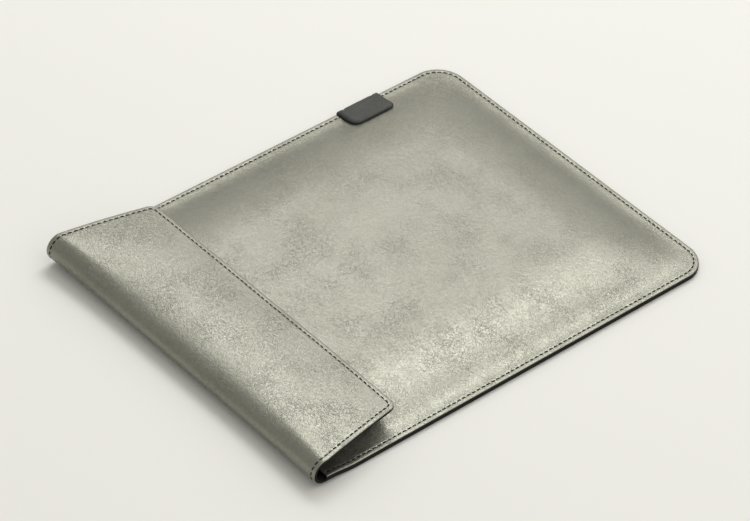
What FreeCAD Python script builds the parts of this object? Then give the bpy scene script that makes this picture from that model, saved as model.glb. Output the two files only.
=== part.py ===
import FreeCAD, Part
import math
import os

from FreeCAD import Vector

# Slim envelope sleeve for a tablet, lying on its back.
# Frame, in millimetres: +X across the width, +Y along the length towards the
# closed end, +Z up.  The origin is the middle of the outer box, on the plane
# that the sleeve rests on.  The mouth, the fold and the flap are at -Y.

os.makedirs("parts", exist_ok=True)
doc = FreeCAD.newDocument("tablet_sleeve")

# ---------------------------------------------------------------- dimensions
sheet = doc.addObject("Spreadsheet::Sheet", "Dimensions")
DIMENSIONS = [
    ("case_width", 230.0, "outer width over the painted edges"),
    ("closed_end", 148.5, "Y of the closed end, over the painted edge"),
    ("corner_radius", 18.0, "outer radius of the two closed-end corners"),
    ("leather_thick", 1.0, "outer leather"),
    ("lining_thick", 0.75, "inner lining"),
    ("glue_gap", 0.03, "glue line between two layers"),
    ("pocket_gap", 0.12, "gap between the two linings at the seam"),
    ("paint_thick", 0.25, "edge paint build-up"),
    ("crown_rise", 7.2, "clear height of the pocket in its middle"),
    ("roll_width", 48.0, "width over which the front rolls down to its seam"),
    ("seam_margin", 6.0, "flat margin that carries the stitching"),
    ("fold_y", -140.0, "Y of the middle of the bend"),
    ("fold_z", 10.5, "Z of the middle of the bend"),
    ("fold_radius", 8.5, "outer radius of the bend"),
    ("fold_gap", 0.1, "gap between two strips of the fold"),
    ("layer_end", -140.0, "Y where the flat layers stop and the fold starts"),
    ("lift_rise", 2.0, "rise of the mouth end off the ground"),
    ("lift_run", 24.0, "length over which the mouth end rises"),
    ("mouth_edge", -139.5, "Y of the front panel's painted edge"),
    ("flap_free_edge", -81.0, "Y of the flap's painted free edge"),
    ("flap_half_tip", 104.0, "half width of the flap at its free edge"),
    ("flap_corner", 11.0, "outer radius of the flap's free corners"),
    ("flap_arch", 640.0, "radius of the flap's arch along Y"),
    ("stitch_inset", 3.0, "distance from the edge to the stitch line"),
    ("thread_wide", 0.5, "width of a thread line"),
    ("thread_high", 0.2, "height that a thread stands above the surface"),
    ("groove_deep", 0.3, "depth of the stitch channel in the back"),
    ("tag_width", 31.5, "side tag, along Y"),
    ("tag_centre", 81.0, "Y of the side tag's middle"),
    ("tag_reach", 17.5, "side tag, from the edge inwards"),
    ("tag_thick", 1.5, "side tag, thickness of its upper leaf"),
    ("tag_corner", 4.0, "radius of the tag's inner corners"),
]
for row, (alias, value, note) in enumerate(DIMENSIONS, start=1):
    sheet.set("A%d" % row, alias)
    sheet.set("B%d" % row, str(value))
    sheet.setAlias("B%d" % row, alias)
    sheet.set("C%d" % row, note)
doc.recompute()


def dim(alias):
    return float(getattr(sheet, alias))


HALF = dim("case_width") / 2
END = dim("closed_end")
PAINT = dim("paint_thick")
LEATHER, LINING, GLUE = dim("leather_thick"), dim("lining_thick"), dim("glue_gap")
FOLD_Y, FOLD_Z, FOLD = dim("fold_y"), dim("fold_z"), dim("fold_radius")
START, RISE, RUN = dim("layer_end"), dim("lift_rise"), dim("lift_run")
THREAD_W, THREAD_H, INSET = dim("thread_wide"), dim("thread_high"), dim("stitch_inset")

# heights of the layers at the stitched seam
Z_BACK_LINING = LEATHER + GLUE
Z_FRONT_LINING = Z_BACK_LINING + LINING + dim("pocket_gap")
Z_FRONT_LEATHER = Z_FRONT_LINING + LINING + GLUE
Z_TOP = Z_FRONT_LEATHER + LEATHER
FLAP_THICK = LEATHER + GLUE + LINING
S_RADIUS = ((RUN / 2) ** 2 + (RISE / 2) ** 2) / RISE
S_ANGLE = math.asin(RUN / 2 / S_RADIUS)


def lift(y):
    """Height of the resting surface's side of the sleeve above the ground."""
    d = START + RUN - y
    if d <= 0:
        return 0.0
    if d >= RUN:
        return RISE
    if d < RUN / 2:
        return S_RADIUS - math.sqrt(S_RADIUS**2 - d**2)
    return RISE - (S_RADIUS - math.sqrt(S_RADIUS**2 - (RUN - d) ** 2))


# ---------------------------------------------------------- sketch geometry
def seg(a, b):
    return Part.LineSegment(Vector(a[0], a[1], 0), Vector(b[0], b[1], 0))


def arc(centre, radius, low, high):
    circle = Part.Circle(Vector(centre[0], centre[1], 0), Vector(0, 0, 1), radius)
    return Part.ArcOfCircle(circle, low, high)


def rounded(points, radii):
    """Closed outline through the points, each corner rounded by its radius."""
    n, ends, arcs = len(points), [], []
    for i in range(n):
        p, a, b = points[i], points[i - 1], points[(i + 1) % n]
        r = radii[i]
        if r <= 0:
            ends.append((p, p))
            arcs.append(None)
            continue
        ux, uy = a[0] - p[0], a[1] - p[1]
        vx, vy = b[0] - p[0], b[1] - p[1]
        lu, lv = math.hypot(ux, uy), math.hypot(vx, vy)
        ux, uy, vx, vy = ux / lu, uy / lu, vx / lv, vy / lv
        half = math.acos(max(-1.0, min(1.0, ux * vx + uy * vy))) / 2
        d = r / math.tan(half)
        s, e = (p[0] + ux * d, p[1] + uy * d), (p[0] + vx * d, p[1] + vy * d)
        bx, by = ux + vx, uy + vy
        k = r / math.sin(half) / math.hypot(bx, by)
        c = (p[0] + bx * k, p[1] + by * k)
        t0, t1 = math.atan2(s[1] - c[1], s[0] - c[0]), math.atan2(e[1] - c[1], e[0] - c[0])
        turn = (t1 - t0) % (2 * math.pi)
        arcs.append(arc(c, r, t0, t0 + turn) if turn < math.pi else arc(c, r, t1, t1 + 2 * math.pi - turn))
        ends.append((s, e))
    out = []
    for i in range(n):
        if arcs[i] is not None:
            out.append(arcs[i])
        a, b = ends[i][1], ends[(i + 1) % n][0]
        if math.hypot(a[0] - b[0], a[1] - b[1]) > 1e-6:
            out.append(seg(a, b))
    return out


def s_curve(z):
    """The lifted mouth end's line at height z, from the flat part to the fold."""
    ya, yb = START + RUN, START
    return [
        arc((ya, z + S_RADIUS), S_RADIUS, 1.5 * math.pi - S_ANGLE, 1.5 * math.pi),
        arc((yb, z + RISE - S_RADIUS), S_RADIUS, 0.5 * math.pi - S_ANGLE, 0.5 * math.pi),
    ]


def base_slab(z0, z1, far):
    """Side profile of a body layer between heights z0 and z1, up to Y = far."""
    ya = START + RUN
    return (
        [seg((far, z0), (ya, z0))]
        + s_curve(z0)
        + [seg((START, z0 + RISE), (START, z1 + RISE))]
        + s_curve(z1)
        + [seg((ya, z1), (far, z1)), seg((far, z1), (far, z0))]
    )


ARCH = dim("flap_arch")
ARCH_Y, ARCH_Z = FOLD_Y, FOLD_Z + FOLD - ARCH
FREE = dim("flap_free_edge")


def flap_height(y, depth=0.0):
    return ARCH_Z + math.sqrt((ARCH - depth) ** 2 - (y - ARCH_Y) ** 2)


def flap_slab(d0, d1, y0, y1):
    """Side profile of a flap layer between depths d0 and d1 under its outside."""

    def bow(depth):
        r = ARCH - depth
        return arc((ARCH_Y, ARCH_Z), r, math.acos((y1 - ARCH_Y) / r), math.acos((y0 - ARCH_Y) / r))

    return [
        bow(d0),
        seg((y1, flap_height(y1, d0)), (y1, flap_height(y1, d1))),
        bow(d1),
        seg((y0, flap_height(y0, d1)), (y0, flap_height(y0, d0))),
    ]


STRIPS = {"lower": (0.0, 60.0), "middle": (60.0, 120.0), "upper": (120.0, 180.0)}


def fold_strip(r0, r1, strip):
    """Side profile of one strip of the bend between radii r0 > r1.  The bend's
    angle runs from 0 under its middle to 180 degrees over its middle."""
    low, high = STRIPS[strip]
    margin = math.degrees(dim("fold_gap") / 2 / FOLD)
    low, high = math.radians(low + margin), math.radians(high - margin)

    def at(r, angle):
        return (FOLD_Y - r * math.sin(angle), FOLD_Z - r * math.cos(angle))

    def bend(r):
        return arc((FOLD_Y, FOLD_Z), r, 1.5 * math.pi - high, 1.5 * math.pi - low)

    return [bend(r0), seg(at(r0, low), at(r1, low)), bend(r1), seg(at(r1, high), at(r0, high))]


def body_plan(offset):
    """Plan of the body, offset inwards, running on past the mouth."""
    w, far, r = HALF - offset, END - offset, dim("corner_radius") - offset
    return rounded([(-w, -190), (w, -190), (w, far), (-w, far)], [0, 0, r, r])


def flap_plan(offset, near=None):
    """Plan of the tapered flap, offset inwards, running on past the fold."""
    slope = (HALF - dim("flap_half_tip")) / (FREE - FOLD_Y)
    shift = offset * math.hypot(1, slope)
    y1 = FREE - offset
    y0 = -190 if near is None else near

    def wide(y):
        return HALF - slope * (y - FOLD_Y) - shift

    r = dim("flap_corner") - offset
    return rounded([(-wide(y0), y0), (wide(y0), y0), (wide(y1), y1), (-wide(y1), y1)], [0, 0, r, r])


BIG = [seg((-300, -300), (300, -300)), seg((300, -300), (300, 300)), seg((300, 300), (-300, 300)), seg((-300, 300), (-300, -300))]


def box_plan(x0, x1, y0, y1):
    return [seg((x0, y0), (x1, y0)), seg((x1, y0), (x1, y1)), seg((x1, y1), (x0, y1)), seg((x0, y1), (x0, y0))]


# ------------------------------------------------------------ body features
def origin_plane(body, role):
    return [f for f in body.Origin.OriginFeatures if f.Role == role][0]


def sketch_on(body, role, name, geometry):
    sk = body.newObject("Sketcher::SketchObject", name)
    sk.AttachmentSupport = [(origin_plane(body, role), "")]
    sk.MapMode = "FlatFace"
    sk.addGeometry(geometry, False)
    return sk


def symmetric(feature):
    if hasattr(feature, "SideType"):
        feature.SideType = "Symmetric"
    else:
        feature.Midplane = True


def layer(name, profile, plan=None, hole=None, width="Dimensions.case_width"):
    """A sheet of material: its side profile padded across the width, then cut
    to its plan outline, and opened inside a second outline if there is one."""
    body = doc.addObject("PartDesign::Body", name)
    body.Label = name
    side = sketch_on(body, "YZ_Plane", name + "_profile", profile)
    pad = body.newObject("PartDesign::Pad", name + "_pad")
    pad.Profile = side
    pad.Type = "Length"
    symmetric(pad)
    pad.setExpression("Length", width)
    doc.recompute()
    before = pad.Shape.Volume
    side.Visibility = False
    for outline, kind in ((BIG + plan if plan is not None else None, "trim"), (hole, "inside")):
        if outline is None:
            continue
        top = sketch_on(body, "XY_Plane", "%s_%s_plan" % (name, kind), outline)
        cut = body.newObject("PartDesign::Pocket", "%s_%s" % (name, kind))
        cut.Profile = top
        cut.Type = "Length"
        symmetric(cut)
        cut.Length = 80
        doc.recompute()
        top.Visibility = False
        if not cut.Shape.Volume < before - 1e-6:
            raise RuntimeError("%s: the %s pocket cut nothing" % (name, kind))
        before = cut.Shape.Volume
    doc.recompute()
    return body


INNER = "Dimensions.case_width - 2 * Dimensions.paint_thick"

parts = {}

# back panel: outer leather with a channel for the bobbin thread, and lining
back_blank = layer("back_leather_blank", base_slab(0.0, LEATHER, END - PAINT), body_plan(PAINT), width=INNER)
channel = layer(
    "stitch_channel",
    base_slab(-0.5, dim("groove_deep"), END - INSET + THREAD_W / 2 + 0.05),
    body_plan(INSET - THREAD_W / 2 - 0.05),
    body_plan(INSET + THREAD_W / 2 + 0.05),
)
tag_recess = doc.addObject("Part::Box", "tag_recess")
tag_recess.setExpression("Length", "Dimensions.stitch_inset")
tag_recess.setExpression("Width", "Dimensions.tag_width + 0.6")
tag_recess.Height = 1.7
tag_recess.setExpression("Placement.Base.x", "-Dimensions.case_width / 2 - 0.55")
tag_recess.setExpression("Placement.Base.y", "Dimensions.tag_centre - Dimensions.tag_width / 2 - 0.3")
tag_recess.Placement.Base.z = -1.0
back_cutters = doc.addObject("Part::MultiFuse", "back_cutters")
back_cutters.Shapes = [channel, tag_recess]
back_leather = doc.addObject("Part::Cut", "back_leather")
back_leather.Base = back_blank
back_leather.Tool = back_cutters
back_leather.Label = "back_leather"
doc.recompute()
if not back_leather.Shape.Volume < back_blank.Shape.Volume - 1:
    raise RuntimeError("the stitch channel cut nothing")
parts["back_leather"] = back_leather
parts["back_lining"] = layer(
    "back_lining", base_slab(Z_BACK_LINING, Z_BACK_LINING + LINING, END - PAINT), body_plan(PAINT), width=INNER
)

STITCH = HALF - INSET


def two_strips(x):
    return box_plan(-x - THREAD_W / 2, -x + THREAD_W / 2, -190, 190) + box_plan(
        x - THREAD_W / 2, x + THREAD_W / 2, -190, 190
    )


# fold: the same hide and lining bent through half a turn.  It bends along four
# lines, at 0, 60, 120 and 180 degrees round it, so it is held as three strips.
for strip in STRIPS:
    name = "fold_leather_" + strip
    parts[name] = layer(name, fold_strip(FOLD, FOLD - LEATHER, strip), width=INNER)
    name = "fold_lining_" + strip
    parts[name] = layer(name, fold_strip(FOLD - LEATHER - GLUE, FOLD - FLAP_THICK, strip), width=INNER)
    name = "fold_edge_paint_" + strip
    parts[name] = layer(
        name,
        fold_strip(FOLD - 0.1, FOLD - FLAP_THICK + 0.1, strip),
        None,
        box_plan(-HALF + PAINT, HALF - PAINT, -190, -100),
    )
    name = "fold_needle_thread_" + strip
    parts[name] = layer(name, fold_strip(FOLD + THREAD_H, FOLD, strip), two_strips(STITCH))
    name = "fold_bobbin_thread_" + strip
    parts[name] = layer(
        name, fold_strip(FOLD - FLAP_THICK, FOLD - FLAP_THICK - THREAD_H, strip), two_strips(STITCH)
    )

# flap: starts where the fold ends, arches gently and narrows to its free edge
Y0, Y1 = START + 0.1, FREE - PAINT
parts["flap_leather"] = layer("flap_leather", flap_slab(0.0, LEATHER, Y0, Y1), flap_plan(PAINT))
parts["flap_lining"] = layer("flap_lining", flap_slab(LEATHER + GLUE, FLAP_THICK, Y0, Y1), flap_plan(PAINT))
parts["flap_edge_paint"] = layer(
    "flap_edge_paint", flap_slab(0.1, FLAP_THICK - 0.1, Y0, FREE), flap_plan(0.0), flap_plan(PAINT)
)
parts["flap_needle_thread"] = layer(
    "flap_needle_thread",
    flap_slab(-THREAD_H, 0.0, Y0, FREE),
    flap_plan(INSET - THREAD_W / 2),
    flap_plan(INSET + THREAD_W / 2),
)
parts["flap_bobbin_thread"] = layer(
    "flap_bobbin_thread",
    flap_slab(FLAP_THICK, FLAP_THICK + THREAD_H, Y0, FREE),
    flap_plan(INSET - THREAD_W / 2),
    flap_plan(INSET + THREAD_W / 2),
)

# body seam: edge paint and the two threads of its lockstitch
paint_ring = layer(
    "body_edge_ring", base_slab(0.1, Z_TOP - 0.1, END), body_plan(0.0), body_plan(PAINT)
)
tag_gap = doc.addObject("Part::Box", "tag_gap")
tag_gap.Length = 10
tag_gap.setExpression("Width", "Dimensions.tag_width + 0.4")
tag_gap.Height = 20
tag_gap.setExpression("Placement.Base.x", "-Dimensions.case_width / 2 - 5")
tag_gap.setExpression("Placement.Base.y", "Dimensions.tag_centre - Dimensions.tag_width / 2 - 0.2")
tag_gap.Placement.Base.z = -5
edge_paint = doc.addObject("Part::Cut", "body_edge_paint")
edge_paint.Base = paint_ring
edge_paint.Tool = tag_gap
edge_paint.Label = "body_edge_paint"
parts["body_edge_paint"] = edge_paint
parts["seam_needle_thread"] = layer(
    "seam_needle_thread",
    base_slab(Z_TOP + GLUE, Z_TOP + GLUE + THREAD_H, END),
    body_plan(INSET - THREAD_W / 2),
    body_plan(INSET + THREAD_W / 2),
)
parts["seam_bobbin_thread"] = layer(
    "seam_bobbin_thread",
    base_slab(0.04, 0.26, END),
    body_plan(INSET - THREAD_W / 2),
    body_plan(INSET + THREAD_W / 2),
)

# ------------------------------------------------------- crowned front panel
MARGIN, ROLL, CROWN = dim("seam_margin"), dim("roll_width"), dim("crown_rise")
SOFT = 0.15


def ease(distance):
    """0 at the seam margin, 1 once past the roll, with a soft start."""
    u = max(0.0, min(1.0, distance / ROLL))
    g = u * u / (2 * SOFT) if u < SOFT else u - SOFT / 2
    g = g / (1 - SOFT / 2)
    return 1 - (1 - g) ** 2


def crown(x, y):
    return CROWN * ease(HALF - MARGIN - abs(x)) * ease(END - MARGIN - y)


def front_face(z):
    """The crowned surface through height z at the seam, a little oversize."""
    nx, ny = 60, 75
    grid = []
    for i in range(nx):
        x = -HALF - 2 + (2 * HALF + 4) * i / (nx - 1)
        line = []
        for j in range(ny):
            y = -146.0 + (END + 2 + 146.0) * j / (ny - 1)
            line.append(Vector(x, y, z + lift(y) + crown(x, y)))
        grid.append(line)
    surface = Part.BSplineSurface()
    surface.interpolate(grid)
    return surface.toShape()


def plan_prism(geometry, z0=-5.0, height=40.0):
    edges = [g.toShape() for g in geometry]
    wire = Part.Wire(Part.__sortEdges__(edges))
    face = Part.Face(wire)
    face.translate(Vector(0, 0, z0))
    return face.extrude(Vector(0, 0, height))


def crowned(name, z0, z1, plan):
    """A sheet between two copies of the crowned surface, cut to its plan."""
    sheet_solid = front_face(z0).extrude(Vector(0, 0, z1 - z0))
    shape = sheet_solid.common(plan_prism(plan))
    if len(shape.Solids) != 1:
        raise RuntimeError("%s: %d solids" % (name, len(shape.Solids)))
    obj = doc.addObject("Part::Feature", name)
    obj.Shape = shape.Solids[0]
    obj.Placement = FreeCAD.Placement(Vector(0, 0, 0), FreeCAD.Rotation())
    obj.Label = name
    return obj


def front_plan(offset, start):
    w, far, r = HALF - offset, END - offset, dim("corner_radius") - offset
    return rounded([(-w, start), (w, start), (w, far), (-w, far)], [0, 0, r, r])


MOUTH = dim("mouth_edge")
parts["front_lining"] = crowned(
    "front_lining", Z_FRONT_LINING, Z_FRONT_LINING + LINING, front_plan(PAINT, MOUTH + PAINT)
)
parts["front_leather"] = crowned(
    "front_leather", Z_FRONT_LEATHER, Z_TOP, front_plan(PAINT, MOUTH + PAINT)
)
parts["mouth_edge_paint"] = crowned(
    "mouth_edge_paint",
    Z_FRONT_LINING + 0.1,
    Z_TOP - 0.1,
    box_plan(-HALF + PAINT, HALF - PAINT, MOUTH, MOUTH + PAINT),
)
ROW = MOUTH + INSET
parts["mouth_needle_thread"] = crowned(
    "mouth_needle_thread",
    Z_TOP + GLUE,
    Z_TOP + GLUE + THREAD_H,
    box_plan(-STITCH + 0.4, STITCH - 0.4, ROW - THREAD_W / 2, ROW + THREAD_W / 2),
)
parts["mouth_bobbin_thread"] = crowned(
    "mouth_bobbin_thread",
    Z_FRONT_LINING - GLUE - THREAD_H,
    Z_FRONT_LINING - GLUE,
    box_plan(-STITCH + 16.0, STITCH - 16.0, ROW - THREAD_W / 2, ROW + THREAD_W / 2),
)

# ----------------------------------------------------------------- side tag
REACH, TAG = dim("tag_reach"), dim("tag_thick")
x_out, x_wall, x_in = -HALF - PAINT, -HALF + PAINT, -HALF + REACH
z_leaf = Z_TOP + THREAD_H + 0.1
z_tip = Z_TOP + crown(x_in, 0) + 0.1
tag_profile = rounded(
    [
        (x_out, 0.05),
        (-HALF + INSET - 0.8, 0.05),
        (-HALF + INSET - 0.8, 0.6),
        (x_wall - 0.02, 0.6),
        (x_wall - 0.02, z_leaf),
        (-HALF + 7.0, z_leaf),
        (x_in, z_tip),
        (x_in, z_tip + TAG),
        (-HALF + 6.6, z_leaf + TAG),
        (x_out, z_leaf + TAG),
    ],
    [0.3, 0, 0, 0, 0, 4.0, 0, 0.5, 4.0, 0.8],
)
tag = doc.addObject("PartDesign::Body", "side_tag")
tag.Label = "side_tag"
tag_side = sketch_on(tag, "XZ_Plane", "side_tag_profile", tag_profile)
tag_pad = tag.newObject("PartDesign::Pad", "side_tag_pad")
tag_pad.Profile = tag_side
tag_pad.Type = "Length"
symmetric(tag_pad)
tag_pad.setExpression("Length", "Dimensions.tag_width")
doc.recompute()
tag_volume = tag_pad.Shape.Volume
half_tag, rt = dim("tag_width") / 2, dim("tag_corner")
tag_plan = rounded(
    [(x_out - 5, -half_tag), (x_in, -half_tag), (x_in, half_tag), (x_out - 5, half_tag)], [0, rt, rt, 0]
)
tag_top = sketch_on(tag, "XY_Plane", "side_tag_plan", BIG + tag_plan)
tag_cut = tag.newObject("PartDesign::Pocket", "side_tag_corners")
tag_cut.Profile = tag_top
tag_cut.Type = "Length"
symmetric(tag_cut)
tag_cut.Length = 80
tag.setExpression("Placement.Base.y", "Dimensions.tag_centre")
doc.recompute()
if not tag_cut.Shape.Volume < tag_volume:
    raise RuntimeError("the tag's corners were not cut")
parts["side_tag"] = tag

# ------------------------------------------------------------ check and write
doc.recompute()
for obj in doc.Objects:
    if "Invalid" in obj.State or "Error" in obj.State:
        raise RuntimeError("%s failed: %s" % (obj.Name, obj.State))
for node in sorted(parts):
    shape = parts[node].Shape
    if shape.isNull() or not shape.isValid():
        raise RuntimeError("%s: no valid shape" % node)
    if not shape.Solids:
        raise RuntimeError("%s: no solid" % node)
for node in sorted(parts):
    shape = parts[node].Shape
    shape.exportStep("parts/%s.step" % node)
    b = shape.BoundBox
    print(
        "%-22s solids %d volume %9.1f  X %8.2f %8.2f  Y %8.2f %8.2f  Z %6.2f %6.2f"
        % (node, len(shape.Solids), shape.Volume, b.XMin, b.XMax, b.YMin, b.YMax, b.ZMin, b.ZMax)
    )
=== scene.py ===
import math

import bpy
import numpy as np
from mathutils import Matrix, Vector


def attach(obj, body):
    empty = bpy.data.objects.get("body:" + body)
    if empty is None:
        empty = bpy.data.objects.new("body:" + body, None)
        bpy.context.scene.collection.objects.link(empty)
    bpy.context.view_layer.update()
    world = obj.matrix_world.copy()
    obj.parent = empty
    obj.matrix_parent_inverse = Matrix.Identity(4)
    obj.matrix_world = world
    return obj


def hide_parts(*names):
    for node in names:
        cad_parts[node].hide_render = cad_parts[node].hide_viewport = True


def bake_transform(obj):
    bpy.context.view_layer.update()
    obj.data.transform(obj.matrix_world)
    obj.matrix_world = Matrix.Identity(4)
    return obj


# Tablet sleeve: leather, lining, edge paint, stitches and side tag, built round the
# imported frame.  Lengths in this script are millimetres until a mesh is made.

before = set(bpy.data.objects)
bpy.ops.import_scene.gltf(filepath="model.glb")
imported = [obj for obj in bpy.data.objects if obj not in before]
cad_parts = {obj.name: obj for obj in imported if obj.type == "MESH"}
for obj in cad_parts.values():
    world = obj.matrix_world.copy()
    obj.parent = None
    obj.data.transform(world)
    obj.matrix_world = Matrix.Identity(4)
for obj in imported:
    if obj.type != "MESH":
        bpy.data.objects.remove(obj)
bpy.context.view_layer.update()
scene = bpy.context.scene

MM = 0.001
PITCH = 3.6
HALF, END, CORNER = 114.75, 148.25, 17.75  # the hide's own edge, inside its paint
LEATHER, LINING, GLUE = 1.0, 0.75, 0.03
Z_TOP = 3.68
START, RISE, RUN = -140.0, 2.0, 24.0
S_RADIUS = ((RUN / 2) ** 2 + (RISE / 2) ** 2) / RISE
BEND = 8.5
MOUTH = -139.25
FLAP_END = -81.25
TAPER = 11.0 / 59.0
INSET = 2.75  # stitch line, from the hide's edge
ARCH = 640.0
RING = 20.0
BANDS = [0.0, 0.05, 0.14, 0.28, 0.46, 0.75, 1.15, 1.6, 1.95, 2.2, 2.4, 2.58, 2.75, 2.92, 3.1, 3.3, 3.6, 4.0, 4.6, 5.6, 7.2, 9.6, 12.6, 16.2]

S_BEND = END + 0.25 - START  # length of the back, from the painted closed end
ARC = BEND * math.pi


def smooth(t):
    t = np.clip(t, 0.0, 1.0)
    return t * t * (3 - 2 * t)


def lift(y):
    y = np.asarray(y, float)
    d = START + RUN - y
    low = S_RADIUS - np.sqrt(np.maximum(S_RADIUS**2 - np.clip(d, 0, RUN) ** 2, 0))
    high = RISE - (S_RADIUS - np.sqrt(np.maximum(S_RADIUS**2 - np.clip(RUN - d, 0, RUN) ** 2, 0)))
    return np.where(d <= 0, 0.0, np.where(d >= RUN, RISE, np.where(d < RUN / 2, low, high)))


def ease(d):
    u = np.clip(d / 48.0, 0.0, 1.0)
    g = np.where(u < 0.15, u * u / 0.3, u - 0.075) / 0.925
    return 1 - (1 - g) ** 2


def crown(x, y):
    return 7.2 * ease(109.0 - np.abs(x)) * ease(142.5 - y)


def waves(x, s, seed, lengths, n=9):
    """Smooth, repeatable unevenness of about unit size over a sheet."""
    rng = np.random.default_rng(seed)
    out = np.zeros(np.broadcast(x, s).shape)
    for _ in range(n):
        a, wl, ph = rng.uniform(0, math.pi), rng.uniform(*lengths), rng.uniform(0, 2 * math.pi)
        out = out + np.sin(2 * math.pi * (x * math.cos(a) + s * math.sin(a)) / wl + ph)
    return out / math.sqrt(n / 2) / 1.6


# ------------------------------------------------------------- the two sheets
def front_map(x, v, h):
    """Front panel: v runs from the mouth edge to the closed end, h is depth."""
    y = v + MOUTH
    c = crown(x, y)
    soft = smooth(c / 3.5)
    z = Z_TOP + lift(y) + c - h
    z = z + soft * (0.045 * waves(x, y, 11, (42, 90)) + 0.006 * waves(x, y, 12, (12, 24)))
    return np.stack([x, y, z], -1)


# The hide's profile past the back, as the angle it has turned through at each step of
# its length: a tight even bend at its two ends, and between them a wider shoulder, as
# stiff leather has where nothing presses it down.
STEP = 0.1
along = np.arange(0.0, 96.01, STEP)
columns = np.linspace(-HALF - 2, HALF + 2, 161)
SHOULDER = [
    (0, 0), (1.5, 6.5), (16.4, 138.5), (18.6, 152.0), (21.8, 162.0), (26, 169.0), (32, 173.6),
    (40, 176.8), (50, 180.0), (62, 182.6), (76, 184.9), (96, 187.6),
]


def evened(a, width):
    k = np.arange(-40, 41) * STEP
    w = np.exp(-k * k / 2 / width / width)
    pad = np.concatenate([2 * a[0] - a[40:0:-1], a, 2 * a[-1] - a[-2:-42:-1]])
    return np.convolve(pad, w / w.sum(), "valid")


def profile():
    at, deg = np.array(SHOULDER, float).T
    middle = evened(np.interp(along, at, np.radians(deg)), 1.3)
    rows = []
    for x in columns:
        r = BEND - 0.12 - 0.28 * x / HALF  # a little tighter at the near end
        ramp = np.where(along < 1.5, along**2 / (3.0 * r), (along - 0.75) / r)
        side = evened(np.minimum(ramp, math.pi) + np.maximum(along - (math.pi * r + 0.75), 0) / ARCH, 1.0)
        share = max(0.0, 1 - abs(x / HALF) ** 3)
        p = (1 - share) * side + share * middle
        p = p - p[0]
        dy, dz = -np.cos(p), np.sin(p)
        y = START + np.concatenate([[0], np.cumsum((dy[1:] + dy[:-1]) / 2 * STEP)])
        z = RISE + np.concatenate([[0], np.cumsum((dz[1:] + dz[:-1]) / 2 * STEP)])
        far = along > 30
        reach = np.interp(FLAP_END, y[far], along[far]) / (ARC + FLAP_END - START)
        rows.append((p, y, z, reach))
    return [np.array(c) for c in zip(*rows)]


TURN, TURN_Y, TURN_Z, REACH = profile()


def look_up(table, x, s):
    """A profile table at any x and length, straight between its entries."""
    i = np.clip((x - columns[0]) / (columns[1] - columns[0]), 0, len(columns) - 1.001)
    j = np.clip(s / STEP, 0, len(along) - 1.001)
    i0, j0 = i.astype(int), j.astype(int)
    fi, fj = i - i0, j - j0
    low = table[i0, j0] * (1 - fj) + table[i0, j0 + 1] * fj
    high = table[i0 + 1, j0] * (1 - fj) + table[i0 + 1, j0 + 1] * fj
    return low * (1 - fi) + high * fi


def hide_map(x, s, h):
    """The hide that makes the back, the bend and the flap. s runs from the closed
    end under the back, round the bend and out along the flap; h is depth inwards."""
    x, s, h = np.broadcast_arrays(*(np.asarray(a, float) for a in (x, s, h)))
    y_back = END + 0.25 - s
    back = np.stack([x, y_back, lift(y_back) + h], -1)
    past = np.maximum(s - S_BEND, 0.0) * np.interp(x, columns, REACH)
    p = look_up(TURN, x, past)
    run = np.maximum(s - S_BEND - ARC, 0.0)
    uneven = smooth(run / 14.0) * (0.055 * waves(x, s, 21, (36, 80)) + 0.008 * waves(x, s, 22, (12, 24)))
    y = look_up(TURN_Y, x, past) + h * np.sin(p)
    z = look_up(TURN_Z, x, past) + h * np.cos(p) + uneven
    turned = np.stack([x, y, z], -1)
    return np.where((s <= S_BEND)[..., None], back, turned)


S1, S2, S3 = S_BEND + ARC / 6, S_BEND + ARC / 2, S_BEND + ARC * 5 / 6
S_END = S_BEND + ARC + (FLAP_END - START)


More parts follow.
